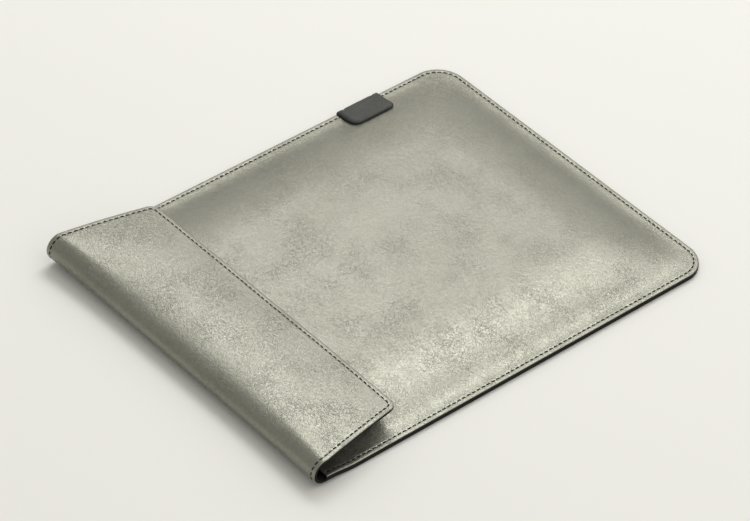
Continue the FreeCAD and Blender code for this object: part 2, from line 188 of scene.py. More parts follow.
# --------------------------------------------------------------- flat lattices
class Lattice:
    """Points and quads of a sheet in its own plane: x across, v from the open end
    to the far end, which has two rounded corners.  d is the distance to the edge
    and tau the length along the stitch line from the middle of the far end."""

    def __init__(self, half, length, corner, rows, taper=0.0, taper_from=0.0, coarse=False, bands=BANDS):
        self.half, self.length, self.corner = half, length, corner
        self.taper, self.taper_from = taper, taper_from
        rng = min(RING, half * 0.6)
        self.ring = rng
        bands = [b for b in bands if b < rng - 1]
        inner_rows = np.array([r for r in rows if r < length - rng - 1e-6] + [length - rng])
        half_in = half - rng
        edge = min(20.0, half_in * 0.4)
        fine, mid = (3.0, 5.0) if coarse else (0.75, 1.75)
        n1, n2 = max(2, int(edge / fine)), max(2, int((half_in - edge) / mid))
        q = np.concatenate([np.linspace(0, 1 - edge / half_in, n2 + 1)[:-1], np.linspace(1 - edge / half_in, 1, n1 + 1)])
        q = np.concatenate([-q[:0:-1], q])
        nv, nx = len(inner_rows), len(q)
        path = self.offset_path(inner_rows, q)
        xs, vs, ds, taus = [], [], [], []
        curves = []
        for b in bands:
            if b <= 6.0:
                px, pv = self.offset(path, b)
            else:
                f = (b - 6.0) / (rng - 6.0)
                ax, av = self.offset(path, 6.0)
                ix, iv = path["inner"]
                px, pv = ax * (1 - f) + ix * f, av * (1 - f) + iv * f
            curves.append(np.arange(len(px)) + sum(len(c) for c in xs))
            xs.append(px)
            vs.append(pv)
            ds.append(np.full(len(px), float(b)))
            taus.append(path["tau"])
        base = sum(len(c) for c in xs)
        wi = self.width(inner_rows) - rng * self.hyp(inner_rows)
        gx = q[None, :] * wi[:, None]
        gv = np.repeat(inner_rows[:, None], nx, 1)
        xs.append(gx.ravel())
        vs.append(gv.ravel())
        ds.append(np.full(gx.size, 99.0))
        taus.append(np.zeros(gx.size))
        grid = base + np.arange(nv * nx).reshape(nv, nx)
        rim = np.concatenate([grid[:, 0], grid[-1, 1:-1], grid[::-1, -1]])
        curves.append(rim)
        quads = []
        for a, b in zip(curves[:-1], curves[1:]):
            quads.append(np.stack([a[:-1], b[:-1], b[1:], a[1:]], 1))
        quads.append(np.stack([grid[:-1, :-1].ravel(), grid[:-1, 1:].ravel(), grid[1:, 1:].ravel(), grid[1:, :-1].ravel()], 1))
        self.x, self.v = np.concatenate(xs), np.concatenate(vs)
        self.d, self.tau = np.concatenate(ds), np.concatenate(taus)
        quads = np.concatenate(quads)
        area = np.zeros(len(quads))
        for i in range(4):
            p, n = quads[:, i], quads[:, (i + 1) % 4]
            area += self.x[p] * self.v[n] - self.x[n] * self.v[p]
        quads[area < 0] = quads[area < 0][:, ::-1]
        self.quads = quads
        self.path = path

    def width(self, v):
        return self.half - self.taper * np.maximum(np.asarray(v, float) - self.taper_from, 0.0)

    def hyp(self, v):
        full = math.hypot(1, self.taper) - 1
        return 1 + full * smooth((np.asarray(v, float) - self.taper_from) / 8.0)

    def offset_path(self, rows, q):
        """The rim's points as: straight side rows, then the corner by angle."""
        hyp, r = math.hypot(1, self.taper), self.corner
        cv = self.length - r
        cx = float(self.width(cv)) - r * hyp
        low = math.atan2(self.taper, 1.0)  # the side's normal
        vt = cv + r * math.sin(low)  # where the side meets the corner's arc
        mid = low + (math.pi / 2 - low) / 2
        last = rows[-1]
        start = max(rows[0], last - 20.0)
        i0 = int(np.searchsorted(rows, start - 1e-9))
        start = rows[i0]
        straight = (vt - start) * hyp
        total = straight + r * (mid - low)
        kind, val = [], []
        for i, v in enumerate(rows):
            if i <= i0:
                kind.append(0)
                val.append(v)
            else:
                ell = total * (v - start) / (last - start)
                if ell <= straight:
                    kind.append(0)
                    val.append(start + ell / hyp)
                else:
                    kind.append(1)
                    val.append(low + (ell - straight) / r)
        # the far side, from the middle outwards, by its share q in 0..1
        pos = q[q >= 0]
        half_in = float(self.width(last)) - self.ring * hyp
        qs = max(0.0, 1 - 20.0 / half_in)
        j0 = int(np.searchsorted(pos, qs - 1e-9))
        qs = pos[j0]
        straight2 = cx - qs * half_in
        total2 = straight2 + r * (math.pi / 2 - mid)
        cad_, fv_ = [], []
        for j, t in enumerate(pos[:-1]):
            if j <= j0:
                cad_.append(2)
                fv_.append(t * half_in)
            else:
                ell = total2 * (t - qs) / (1 - qs)
                if ell <= straight2:
                    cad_.append(2)
                    fv_.append(qs * half_in + ell)
                else:
                    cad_.append(1)
                    fv_.append(math.pi / 2 - (ell - straight2) / r)
        # one half: side rows, then far side from the corner to the middle
        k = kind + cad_[::-1]
        w = val + fv_[::-1]
        k, w = np.array(k), np.array(w, float)
        out = {"k": k, "w": w, "cx": cx, "cv": cv, "low": low, "vt": vt, "start": rows[i0]}
        hx, hv = self.half_offset(out, INSET)
        seg = np.hypot(np.diff(hx), np.diff(hv))
        tau = np.concatenate([np.cumsum(seg[::-1])[::-1], [0.0]])
        out["tau"] = np.concatenate([tau, -tau[:-1][::-1]])
        side_in = (self.width(rows) - self.ring * self.hyp(rows), rows)
        far_x = pos[:-1][::-1] * half_in
        ix = np.concatenate([side_in[0], far_x])
        iv = np.concatenate([side_in[1], np.full(len(far_x), last)])
        out["inner"] = (np.concatenate([-ix, ix[:-1][::-1]]), np.concatenate([iv, iv[:-1][::-1]]))
        return out

    def half_offset(self, path, b):
        """Half of the rim's path at distance b inwards, on the +X side."""
        k, w = path["k"], path["w"]
        slope = math.sin(path["low"])
        share = smooth((w - path["start"]) / max(path["vt"] - path["start"], 1e-6))
        sv = w - b * slope * np.where(k == 0, share, 0)
        sx = self.width(sv) - b * self.hyp(sv)
        r = self.corner - b
        ax, av = path["cx"] + r * np.cos(w), path["cv"] + r * np.sin(w)
        fx, fv = w, np.full(len(w), self.length - b)
        x = np.where(k == 0, sx, np.where(k == 1, ax, fx))
        v = np.where(k == 0, sv, np.where(k == 1, av, fv))
        return x, v

    def offset(self, path, b):
        x, v = self.half_offset(path, b)
        return np.concatenate([-x, x[:-1][::-1]]), np.concatenate([v, v[:-1][::-1]])


class Strip:
    """A plain strip right across the sheet, with the same columns as a Lattice."""

    def __init__(self, like, rows):
        keep = (like.v == like.v.min())
        order = np.argsort(like.x[keep])
        cols, d = like.x[keep][order], like.d[keep][order]
        gv, gx = np.meshgrid(rows, cols, indexing="ij")
        n, m = gv.shape
        grid = np.arange(n * m).reshape(n, m)
        self.x, self.v = gx.ravel(), gv.ravel()
        self.d = np.repeat(d[None, :], n, 0).ravel()
        self.tau = np.sign(self.x) * -self.v
        self.quads = np.stack([grid[:-1, :-1].ravel(), grid[:-1, 1:].ravel(), grid[1:, 1:].ravel(), grid[1:, :-1].ravel()], 1)


def with_ends(a, b, step, low=True, high=False):
    """Rows from a to b, with a very thin one at an end that meets another piece."""
    n = max(1, int(round((b - a) / step)))
    rows = list(np.linspace(a, b, n + 1))
    if low:
        rows.insert(1, a + 0.03)
    if high:
        rows.insert(len(rows) - 1, b - 0.03)
    return rows


# ---------------------------------------------------------------- mesh makers
def new_object(name, co, faces, material, flat=None, rim=None, smooth_faces=None, sharp=None):
    mesh = bpy.data.meshes.new(name)
    mesh.from_pydata((np.asarray(co) * MM).tolist(), [], [list(map(int, f)) for f in faces])
    mesh.update()
    n = len(mesh.polygons)
    mesh.polygons.foreach_set("use_smooth", np.ones(n, bool) if smooth_faces is None else smooth_faces)
    if flat is not None:
        a = mesh.attributes.new("flat", "FLOAT_VECTOR", "POINT")
        a.data.foreach_set("vector", (np.asarray(flat, np.float32) * MM).ravel())
    a = mesh.attributes.new("rim", "FLOAT", "POINT")
    a.data.foreach_set("value", (np.zeros(len(co)) if rim is None else rim).astype(np.float32))
    if sharp is not None:
        keys = set(map(tuple, np.sort(np.asarray(sharp), axis=1).tolist()))
        ev = np.zeros(len(mesh.edges) * 2, np.int32)
        mesh.edges.foreach_get("vertices", ev)
        ev = np.sort(ev.reshape(-1, 2), axis=1).tolist()
        mesh.edges.foreach_set("use_edge_sharp", np.array([tuple(e) in keys for e in ev], bool))
    mesh.materials.append(material)
    mesh.validate()
    obj = bpy.data.objects.new(name, mesh)
    scene.collection.objects.link(obj)
    return obj


def boundary(quads):
    """The directed edges that only one quad uses."""
    e = np.concatenate([quads[:, [i, (i + 1) % 4]] for i in range(4)])
    key = np.sort(e, axis=1)
    _, first, count = np.unique(key, axis=0, return_index=True, return_counts=True)
    return e[first[count == 1]]


def sheet_piece(name, lat, surface, thick, material, h0=0.0, relief=None, inner_relief=None, flat_v=None, offset=(0, 0)):
    """A sheet of material with two faces and its edges, closed."""
    x, v = lat.x, lat.v
    top_h = h0 + (relief(lat) if relief else 0.0)
    low_h = h0 + thick - (inner_relief(lat) if inner_relief else 0.0)
    top = surface(x, v, top_h + 0 * x)
    low = surface(x, v, low_h + 0 * x)
    n = len(x)
    q = lat.quads
    mid = q[len(q) // 2]
    a, b, c = top[mid[0]], top[mid[1]], top[mid[3]]
    flip = np.dot(np.cross(b - a, c - a), top[mid[0]] - low[mid[0]]) < 0
    up = q[:, ::-1] if flip else q
    edges = boundary(up)
    walls = np.stack([edges[:, 1], edges[:, 0], edges[:, 0] + n, edges[:, 1] + n], 1)
    faces = np.concatenate([up, up[:, ::-1] + n, walls])
    flags = np.concatenate([np.ones(2 * len(up), bool), np.zeros(len(walls), bool)])
    fv = v if flat_v is None else flat_v(v)
    flat = np.stack([x + offset[0], fv + offset[1], np.zeros(n)], 1)
    flat = np.concatenate([flat, flat + [0, 0, -thick]])
    # rim is 1 near the edge; the leather material uses it to paint a highlight along the margin
    rim = np.exp(-((np.minimum(lat.d, 30.0) / 2.3) ** 4))
    rim = np.concatenate([rim, rim * 0])
    return new_object(name, np.concatenate([top, low]), faces, material, flat, rim, flags, np.concatenate([edges, edges + n]))


def catmull(keys, n):
    """A smooth line through the key points, n points for each span."""
    k = np.asarray(keys, float)
    p = np.concatenate([[2 * k[0] - k[1]], k, [2 * k[-1] - k[-2]]])
    out = []
    for i in range(1, len(p) - 2):
        t = np.linspace(0, 1, n, endpoint=False)[:, None]
        a, b, c, d = p[i - 1], p[i], p[i + 1], p[i + 2]
        out.append(0.5 * (2 * b + (c - a) * t + (2 * a - 5 * b + 4 * c - d) * t**2 + (3 * b - a - 3 * c + d) * t**3))
    out.append(k[-1:])
    return np.concatenate(out)


def bead(name, line, material, section, surface, seed=0, replaces=()):
    """Edge paint: a closed section carried along a rim.  line is (x, v, nx, nv) of
    the hide's edge with its outward normal; section is (outwards, depth)."""
    x, v, nx, nv = line
    sec = np.asarray(section, float)
    m, n = len(sec), len(x)
    s = np.concatenate([[0], np.cumsum(np.hypot(np.diff(x), np.diff(v)))])
    swell = 0.035 * waves(s, s * 0, 90 + seed, (5, 40)) * 0.6
    out = sec[None, :, 0] + swell[:, None] * np.clip(sec[None, :, 0] / 0.25, 0, 1)
    px = x[:, None] + nx[:, None] * out
    pv = v[:, None] + nv[:, None] * out
    co = surface(px, pv, np.repeat(sec[None, :, 1], n, 0)).reshape(-1, 3)
    i = np.arange(n * m).reshape(n, m)
    j = np.roll(i, -1, axis=1)
    quads = np.stack([i[:-1].ravel(), i[1:].ravel(), j[1:].ravel(), j[:-1].ravel()], 1)
    a, b, c = co[i[0, 0]], co[i[1, 0]], co[i[0, 1]]
    centre = co[i[0]].mean(0)
    if np.dot(np.cross(b - a, c - a), a - centre) < 0:
        quads = quads[:, ::-1]
        caps = [list(i[0]), list(i[-1][::-1])]
    else:
        caps = [list(i[0][::-1]), list(i[-1])]
    faces = quads.tolist() + caps
    flags = np.array([True] * len(quads) + [False] * 2)
    flat = np.stack([np.repeat(s, m), np.tile(np.arange(m) * 0.35, n), np.zeros(n * m)], 1)
    return new_object(name, co, faces, material, flat, None, flags)


def stitches(name, tau, xv, surface, material, taus, side=-1.0, wide=0.43, high=0.22, pitch=PITCH, seed=0, sink=0.0):
    """Single stitches along a line.  tau -> xv gives the line; taus are their
    middles.  side is -1 on the outer face (against depth), +1 on the inner one."""
    rng = np.random.default_rng(400 + seed)
    xs, vs = xv
    rings, around = 11, 10
    t = np.linspace(-1, 1, rings)
    length = (pitch - 0.75) / 2
    taus = np.asarray(taus, float)
    n = len(taus)
    if n == 0:
        return None
    order = np.argsort(tau)
    tau_s, xs, vs = tau[order], xs[order], vs[order]
    jit = rng.normal(0, 0.05, n)
    at = taus[:, None] + jit[:, None] + t[None, :] * length
    px, pv = np.interp(at, tau_s, xs), np.interp(at, tau_s, vs)
    qx, qv = np.interp(at + 0.2, tau_s, xs), np.interp(at + 0.2, tau_s, vs)
    rx, rv = np.interp(at - 0.2, tau_s, xs), np.interp(at - 0.2, tau_s, vs)
    z = np.zeros_like(px)
    base = surface(px, pv, z)
    tang = surface(qx, qv, z) - surface(rx, rv, z)
    tang /= np.maximum(np.linalg.norm(tang, axis=-1, keepdims=True), 1e-9)
    norm = (surface(px, pv, z - 0.05) - surface(px, pv, z + 0.05)) * (-side)
    norm /= np.maximum(np.linalg.norm(norm, axis=-1, keepdims=True), 1e-9)
    cross = np.cross(tang, norm)
    bow = (1 - np.abs(t) ** 3.2)
    up = -0.36 + (0.36 + 0.09 - sink) * bow + rng.normal(0, 0.012, n)[:, None]
    slant = (0.13 * t)[None, :] + rng.normal(0, 0.02, n)[:, None]
    taper = 0.62 + 0.38 * (1 - np.abs(t) ** 4)
    ang = np.linspace(0, 2 * math.pi, around, endpoint=False)
    twist = 1 + 0.07 * np.cos(3 * ang[None, None, :] - (at * 5.2)[:, :, None])
    rw = wide * taper[None, :, None] * np.cos(ang)[None, None, :] * twist
    rh = high * taper[None, :, None] * np.sin(ang)[None, None, :] * twist
    co = base[:, :, None, :] + norm[:, :, None, :] * (up[:, :, None, None] + rh[..., None]) + cross[:, :, None, :] * (slant[:, :, None, None] + rw[..., None])
    co = co.reshape(-1, 3)
    per = rings * around
    i = np.arange(per).reshape(rings, around)
    j = np.roll(i, -1, axis=1)
    q1 = np.stack([i[:-1].ravel(), j[:-1].ravel(), j[1:].ravel(), i[1:].ravel()], 1)
    c0 = co[:per]
    mid = c0.reshape(rings, around, 3)[rings // 2].mean(0)
    f = q1[(rings // 2) * around]
    flip = np.dot(np.cross(c0[f[1]] - c0[f[0]], c0[f[3]] - c0[f[0]]), c0[f[0]] - mid) < 0
    if flip:
        q1 = q1[:, ::-1]
    caps = [list(i[0]), list(i[-1][::-1])]
    if not flip:
        caps = [c[::-1] for c in caps]
    faces = []
    for s in range(n):
        o = s * per
        faces += (q1 + o).tolist()
        faces += [[int(k) + o for k in c] for c in caps]
    tone = np.repeat(rng.uniform(0, 40, n), per)
    flat = np.stack([np.repeat(at.reshape(n, rings, 1), around, 2).ravel(), np.tile(ang * 0.35, n * rings), tone], 1)
    return new_object(name, co, faces, material, flat)


# ------------------------------------------------------------------ materials
def nodes_of(name):
    m = bpy.data.materials.new(name)
    m.use_nodes = True
    nt = m.node_tree
    nt.nodes.clear()
    out = nt.nodes.new("ShaderNodeOutputMaterial")
    sh = nt.nodes.new("ShaderNodeBsdfPrincipled")
    nt.links.new(sh.outputs[0], out.inputs[0])
    return m, nt, sh


class Tree:
    """Short names for the few nodes that the materials use."""

    def __init__(self, nt):
        self.nt = nt

    def link(self, a, b):
        self.nt.links.new(a, b)

    def attr(self, name, vector=True):
        n = self.nt.nodes.new("ShaderNodeAttribute")
        n.attribute_name = name
        return n.outputs["Vector"] if vector else n.outputs["Fac"]

    def scaled(self, vec, scale):
        n = self.nt.nodes.new("ShaderNodeVectorMath")
        n.operation = "MULTIPLY"
        self.link(vec, n.inputs[0])
        n.inputs[1].default_value = scale if hasattr(scale, "__len__") else (scale, scale, scale)
        return n.outputs[0]

    def added(self, a, b):
        n = self.nt.nodes.new("ShaderNodeVectorMath")
        n.operation = "ADD"
        self.link(a, n.inputs[0])
        if isinstance(b, tuple):
            n.inputs[1].default_value = b
        else:
            self.link(b, n.inputs[1])
        return n.outputs[0]

    def noise(self, vec, scale, detail=2.0, rough=0.5, distort=0.0, colour=False):
        n = self.nt.nodes.new("ShaderNodeTexNoise")
        self.link(vec, n.inputs["Vector"])
        n.inputs["Scale"].default_value = scale
        n.inputs["Detail"].default_value = detail
        n.inputs["Roughness"].default_value = rough
        n.inputs["Distortion"].default_value = distort
        return n.outputs["Color"] if colour else n.outputs[0]

    def voronoi(self, vec, scale, feature="F1", rand=1.0, smoothness=None):
        n = self.nt.nodes.new("ShaderNodeTexVoronoi")
        n.feature = feature
        self.link(vec, n.inputs["Vector"])
        n.inputs["Scale"].default_value = scale
        n.inputs["Randomness"].default_value = rand
        if smoothness is not None and "Smoothness" in n.inputs:
            n.inputs["Smoothness"].default_value = smoothness
        return n.outputs["Distance"]

    def ramp(self, fac, stops, interp="EASE"):
        n = self.nt.nodes.new("ShaderNodeValToRGB")
        n.color_ramp.interpolation = interp
        while len(n.color_ramp.elements) < len(stops):
            n.color_ramp.elements.new(0.5)
        for e, (p, c) in zip(n.color_ramp.elements, stops):
            e.position = p
            e.color = (c, c, c, 1) if not hasattr(c, "__len__") else (*c, 1)
        self.link(fac, n.inputs[0])
        return n.outputs[0]

    def math(self, op, a, b=None, c=None, clamp=False):
        n = self.nt.nodes.new("ShaderNodeMath")
        n.operation = op
        n.use_clamp = clamp
        for i, s in enumerate((a, b, c)):
            if s is None:
                continue
            if isinstance(s, (int, float)):
                n.inputs[i].default_value = s
            else:
                self.link(s, n.inputs[i])
        return n.outputs[0]

    def mix(self, fac, a, b, blend="MIX"):
        n = self.nt.nodes.new("ShaderNodeMix")
        n.data_type = "RGBA"
        n.blend_type = blend
        for i, s in ((0, fac), (6, a), (7, b)):
            if isinstance(s, (int, float)):
                n.inputs[i].default_value = s
            elif isinstance(s, tuple):
                n.inputs[i].default_value = (*s, 1)
            else:
                self.link(s, n.inputs[i])
        return n.outputs[2]

    def bump(self, height, distance, strength=1.0, normal=None):
        n = self.nt.nodes.new("ShaderNodeBump")
        n.inputs["Strength"].default_value = strength
        n.inputs["Distance"].default_value = distance
        self.link(height, n.inputs["Height"])
        if normal is not None:
            self.link(normal, n.inputs["Normal"])
        return n.outputs[0]


def pewter_leather():
    """Foil-finished smooth leather: metallic pewter, softly mottled, with a fine
    pebble, faint wisps of wrinkle in patches darkened as painted shade, and a painted highlight along the margin."""
    m, nt, sh = nodes_of("pewter_leather")
    t = Tree(nt)
    p = t.attr("flat")
    rim = t.attr("rim", vector=False)
    # distorted coordinates, so that no pattern runs straight
    warp = t.scaled(t.noise(p, 70.0, 3.0, 0.55, 0.0, colour=True), 0.006)
    pw = t.added(p, warp)
    warp2 = t.scaled(t.noise(p, 260.0, 2.0, 0.5, 0.0, colour=True), 0.0016)
    pf = t.added(p, warp2)
    cloud = t.noise(p, 14.0, 3.0, 0.5, 0.3)
    mottle = t.noise(pw, 130.0, 5.0, 0.60, 0.4)
    fine = t.noise(pf, 520.0, 4.0, 0.62, 0.3)
    # wisps: the thin ridge of a noise, kept only in some patches
    lean = t.scaled(pw, (1.0, 0.55, 1.0))
    wisp = t.ramp(t.math("ABSOLUTE", t.math("SUBTRACT", t.noise(lean, 230.0, 3.0, 0.5, 0.2), 0.5)), [(0.0, 1.0), (0.030, 0.0)])
    hair = t.ramp(t.math("ABSOLUTE", t.math("SUBTRACT", t.noise(pf, 640.0, 3.0, 0.5, 0.3), 0.5)), [(0.0, 1.0), (0.050, 0.0)])
    patch = t.ramp(t.noise(p, 38.0, 3.0, 0.55), [(0.42, 0.0), (0.66, 1.0)])
    wisp = t.math("MULTIPLY", wisp, patch)
    hair = t.math("MULTIPLY", hair, t.math("MULTIPLY_ADD", patch, 0.6, 0.4))
    pebble = t.voronoi(pf, 1700.0, "SMOOTH_F1", 1.0, 0.6)
    pore = t.ramp(t.voronoi(pf, 700.0, "F1"), [(0.0, 1.0), (0.15, 0.0)])
    base = t.mix(t.ramp(cloud, [(0.30, 0.0), (0.72, 1.0)]), LEATHER_DARK, LEATHER_LIGHT)
    base = t.mix(t.math("MULTIPLY", t.ramp(mottle, [(0.35, 0.0), (0.68, 1.0)]), 0.16), base, LEATHER_WARM)
    base = t.mix(t.math("MULTIPLY", t.ramp(fine, [(0.40, 0.0), (0.64, 1.0)]), 0.55), base, LEATHER_WARM)
    # painted shade: the wrinkle lines (wisp, hair) are darkened in colour
    base = t.mix(t.math("MULTIPLY", wisp, 0.05), base, LEATHER_CREASE_SHADE)
    base = t.mix(t.math("MULTIPLY", hair, 0.30), base, LEATHER_CREASE_SHADE)
    # painted highlight: the margin near the edge is lightened in colour
    base = t.mix(t.math("MULTIPLY", rim, 0.08), base, LEATHER_MARGIN_HIGHLIGHT)
    t.link(base, sh.inputs["Base Color"])
    rough = t.math("MULTIPLY_ADD", t.ramp(mottle, [(0.3, 0.0), (0.75, 1.0)]), 0.07, LEATHER_ROUGH)
    rough = t.math("MULTIPLY_ADD", wisp, 0.02, rough)
    t.link(rough, sh.inputs["Roughness"])
    sh.inputs["Metallic"].default_value = LEATHER_METAL
    sh.inputs["Specular IOR Level"].default_value = 0.45
    sh.inputs["Coat Weight"].default_value = 0.05
    sh.inputs["Coat Roughness"].default_value = 0.32
    n1 = t.bump(t.noise(pw, 80.0, 4.0, 0.55, 0.4), 0.00035, LEATHER_BUMP)
    n2 = t.bump(mottle, 0.00008, 0.6, n1)
    n3 = t.bump(wisp, -0.000025, 0.9, t.bump(fine, 0.00013, 1.0, n2))
    n4 = t.bump(hair, -0.00006, 1.0, n3)
    n5 = t.bump(pebble, 0.000035, 0.5, n4)
    n6 = t.bump(pore, -0.00003, 0.4, n5)
    t.link(n6, sh.inputs["Normal"])
    return m


def microfibre():
    """Black brushed microfibre: a short nap that lies unevenly."""
    m, nt, sh = nodes_of("black_microfibre")
    t = Tree(nt)
    p = t.attr("flat")
    nap = t.noise(t.scaled(p, (1.0, 0.35, 1.0)), 900.0, 4.0, 0.7, 0.6)
    brushed = t.noise(p, 45.0, 4.0, 0.6, 1.2)
    fibre = t.noise(t.scaled(p, (1.0, 0.18, 1.0)), 2600.0, 2.0, 0.6)
    base = t.mix(t.ramp(brushed, [(0.35, 0.0), (0.68, 1.0)]), (0.0035, 0.0036, 0.0040), (0.0085, 0.0086, 0.0090))
    base = t.mix(t.math("MULTIPLY", nap, 0.35), base, (0.014, 0.014, 0.015))
    t.link(base, sh.inputs["Base Color"])
    t.link(t.math("MULTIPLY_ADD", nap, 0.12, 0.82), sh.inputs["Roughness"])
    sh.inputs["Sheen Weight"].default_value = 0.05
    sh.inputs["Sheen Roughness"].default_value = 0.5
    sh.inputs["Sheen Tint"].default_value = (0.6, 0.6, 0.65, 1)
    sh.inputs["Specular IOR Level"].default_value = 0.2
    t.link(t.bump(fibre, 0.00009, 0.8, t.bump(nap, 0.00016, 0.7)), sh.inputs["Normal"])
    return m


def black_paint():
    """Edge paint: brushed on in coats and burnished, satin, with small scuffs."""
    m, nt, sh = nodes_of("black_edge_paint")
    t = Tree(nt)
    p = t.attr("flat")
    coats = t.noise(t.scaled(p, (0.25, 1.0, 1.0)), 1400.0, 4.0, 0.6)
    lumps = t.noise(p, 260.0, 3.0, 0.55)
    scuff = t.ramp(t.noise(p, 420.0, 5.0, 0.7, 0.8), [(0.60, 0.0), (0.74, 1.0)])
    base = t.mix(lumps, (0.0032, 0.0032, 0.0034), (0.0062, 0.0060, 0.0058))
    base = t.mix(t.math("MULTIPLY", scuff, 0.30), base, (0.026, 0.025, 0.023))
    t.link(base, sh.inputs["Base Color"])
    t.link(t.math("MULTIPLY_ADD", scuff, 0.22, t.math("MULTIPLY_ADD", coats, 0.14, 0.44)), sh.inputs["Roughness"])
    sh.inputs["Specular IOR Level"].default_value = 0.13
    t.link(t.bump(coats, 0.00005, 0.6, t.bump(lumps, 0.00022, 0.7)), sh.inputs["Normal"])
    return m


def bonded_thread():
    """Black bonded polyester thread: three plies laid at a slant, waxy."""
    m, nt, sh = nodes_of("bonded_thread")
    t = Tree(nt)
    p = t.attr("flat")
    ply = nt.nodes.new("ShaderNodeTexWave")
    ply.wave_type, ply.bands_direction, ply.wave_profile = "BANDS", "X", "SIN"
    t.link(t.added(t.scaled(p, (1.0, 0.0, 0.0)), t.scaled(p, (0.0, 0.55, 0.0))), ply.inputs["Vector"])
    ply.inputs["Scale"].default_value = 430.0
    ply.inputs["Distortion"].default_value = 0.6
    ply.inputs["Detail"].default_value = 2.0
    each = t.noise(p, 95.0, 1.0, 0.5)
    base = t.mix(ply.outputs["Fac"], (0.0025, 0.0025, 0.0030), (0.0075, 0.0075, 0.0085))
    base = t.mix(t.math("MULTIPLY", t.ramp(each, [(0.4, 0.0), (0.7, 1.0)]), 0.4), base, (0.012, 0.0118, 0.0115))
    t.link(base, sh.inputs["Base Color"])
    t.link(t.math("MULTIPLY_ADD", each, 0.2, 0.42), sh.inputs["Roughness"])
    sh.inputs["Specular IOR Level"].default_value = 0.16
    t.link(t.bump(ply.outputs["Fac"], 0.00006, 0.9), sh.inputs["Normal"])
    return m


def tag_leather():
    """Charcoal tag leather with a tight pressed grain."""
    m, nt, sh = nodes_of("charcoal_tag_leather")
    t = Tree(nt)
    p = t.attr("flat")
    rim = t.attr("rim", vector=False)
    pf = t.added(p, t.scaled(t.noise(p, 300.0, 2.0, 0.5, 0.0, colour=True), 0.0018))
    cell = t.voronoi(pf, 950.0, "SMOOTH_F1", 1.0, 0.5)
    edge = t.ramp(t.voronoi(pf, 950.0, "DISTANCE_TO_EDGE"), [(0.0, 1.0), (0.16, 0.0)])
    cloud = t.noise(p, 110.0, 4.0, 0.6)
    base = t.mix(t.ramp(cloud, [(0.3, 0.0), (0.7, 1.0)]), TAG_DARK, TAG_LIGHT)
    base = t.mix(t.math("MULTIPLY", edge, 0.45), base, (0.006, 0.006, 0.006))
    base = t.mix(t.math("MULTIPLY", rim, 0.85), base, (0.0085, 0.0085, 0.0090))
    t.link(base, sh.inputs["Base Color"])
    t.link(t.math("MULTIPLY_ADD", cloud, 0.16, 0.46), sh.inputs["Roughness"])
    sh.inputs["Specular IOR Level"].default_value = 0.5
    t.link(t.bump(edge, -0.00007, 0.7, t.bump(cell, 0.00009, 0.6)), sh.inputs["Normal"])
    return m


LEATHER_DARK = (0.232, 0.231, 0.197)
LEATHER_LIGHT = (0.260, 0.259, 0.224)
LEATHER_WARM = (0.304, 0.301, 0.252)
# colour of the painted shade along the wrinkle lines
LEATHER_CREASE_SHADE = (0.140, 0.139, 0.112)
# colour of the painted highlight along the leather's margin
LEATHER_MARGIN_HIGHLIGHT = (0.300, 0.298, 0.260)
LEATHER_ROUGH, LEATHER_METAL, LEATHER_BUMP = 0.335, 0.84, 0.10
TAG_DARK, TAG_LIGHT = (0.034, 0.036, 0.032), (0.060, 0.063, 0.057)

leather, lining, paint = pewter_leather(), microfibre(), black_paint()
thread, tag_mat = bonded_thread(), tag_leather()


# --------------------------------------------------------------- relief of seams
def seam_relief(scale=1.0, phase=0.0, pitch=PITCH, depth=0.15):
    """The skived edge rolls down; the stitches lie in a shallow groove."""
    def relief(lat):
        d, tau = lat.d, lat.tau
        h = 0.24 * np.clip(1 - d / 0.8, 0, 1) ** 2
        beat = 0.5 + 0.5 * np.cos(2 * math.pi * (np.abs(tau) + phase) / pitch)
        h = h + depth * np.exp(-(((d - INSET) / 0.46) ** 2)) * (0.55 + 0.75 * beat)
        h = h - 0.02 * np.exp(-(((d - 4.2) / 1.0) ** 2))
        return h * scale
    return relief


def mouth_relief(lat):
    h = seam_relief()(lat)
    v = lat.v
    inside = smooth((np.abs(lat.x) < HALF - 1.0) * 1.0)
    d = np.where(lat.d < 98, lat.d, 99.0)
    fade = smooth((np.minimum(d, HALF - np.abs(lat.x)) - 0.3) / 1.5)
    beat = 0.5 + 0.5 * np.cos(2 * math.pi * lat.x / PITCH)
    h = h + inside * fade * 0.15 * np.exp(-(((v - INSET) / 0.46) ** 2)) * (0.55 + 0.75 * beat)
    return h + inside * 0.24 * np.clip(1 - v / 0.8, 0, 1) ** 2


# ---------------------------------------------------------------- the leathers
hw = HALF
front_rows = sorted(set(
    [0, 0.06, 0.18, 0.36, 0.62, 1.0, 1.5, 1.95, 2.25, 2.45, 2.6, 2.75, 2.9, 3.05, 3.25, 3.55, 4.0, 4.7, 5.6]
    + list(np.linspace(6.6, END - MOUTH - RING - 20, 165)) + list(np.linspace(END - MOUTH - RING - 20, END - MOUTH - RING, 32))
))
lat_front = Lattice(hw, END - MOUTH, CORNER, front_rows)
front_leather = sheet_piece("front_panel_leather", lat_front, front_map, LEATHER, leather, relief=mouth_relief, offset=(700, 900))

L1 = S1 - 0.25  # from the hide's closed end to the middle of the first strip
back_rows = with_ends(0.0, ARC / 6, 0.19) + list(np.linspace(ARC / 6, L1 - RING - 20, 185))[1:] + list(np.linspace(L1 - RING - 20, L1 - RING, 32))[1:]
lat_back = Lattice(hw, L1, CORNER, back_rows)


def back_map(x, v, h):
    return hide_map(x, S1 - v, h)


def back_relief(lat):
    h = seam_relief(depth=0.36)(lat)
    y = END + 0.25 - (S1 - lat.v)
    inside = smooth((y - 63.6) / 1.0) * smooth((98.4 - y) / 1.0) * (lat.x < 0)
    seat = inside * smooth((2.75 - lat.d) / 0.35)
    return h * (1 - seat) + 0.66 * seat


back_leather = sheet_piece("back_panel_leather", lat_back, back_map, LEATHER, leather, relief=back_relief, flat_v=lambda v: S1 - v)

